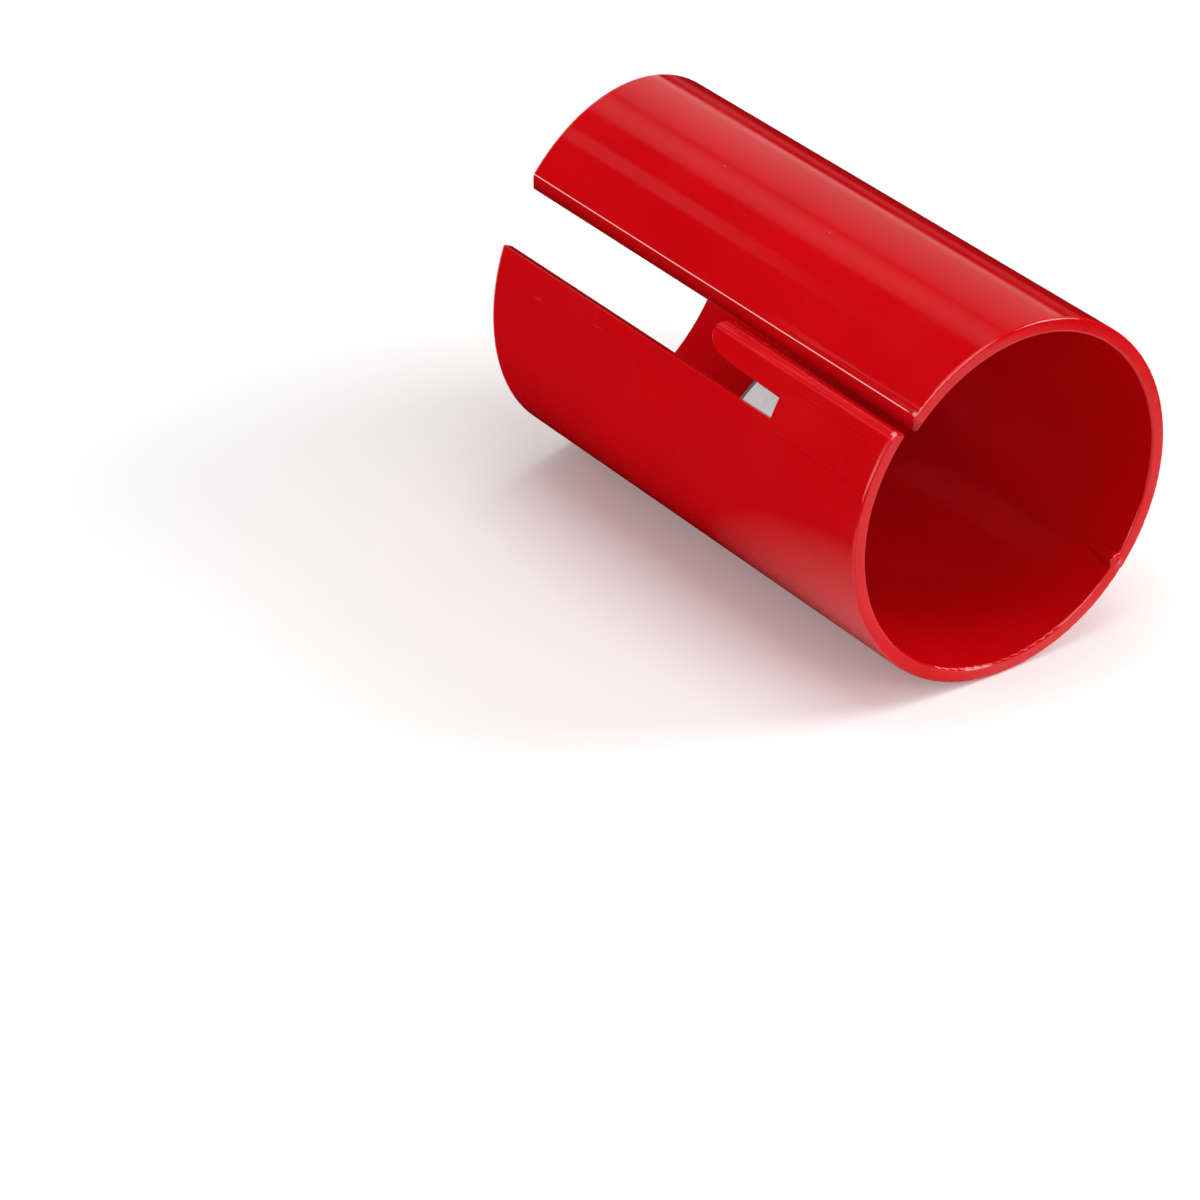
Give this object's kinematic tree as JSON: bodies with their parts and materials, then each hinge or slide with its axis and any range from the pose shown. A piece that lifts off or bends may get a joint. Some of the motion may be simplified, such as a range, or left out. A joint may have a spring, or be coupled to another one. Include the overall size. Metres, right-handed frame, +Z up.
{
  "type": "gift wrap paper cutter",
  "caption": "Springy C-shaped plastic tube that snaps over a roll of gift wrap, with a guide finger and a small steel blade in a narrow paper channel.",
  "frame": {"origin": "on the bore axis, in the plane of the near end, where the paper roll's core shows", "axes": "+X along the bore and out of the near end, +Z up in the lying pose, with the slit facing the front (-Y) and up"},
  "size_m": [0.1141, 0.063, 0.063],
  "materials": {
    "red_plastic": "moulded, high gloss",
    "blade_steel": "ground flat, with a bright bevel"
  },
  "bodies": {
    "root": {"tube_body": "red_plastic", "blade": "blade_steel", "blade_cover": "red_plastic"}
  },
  "joints": []
}
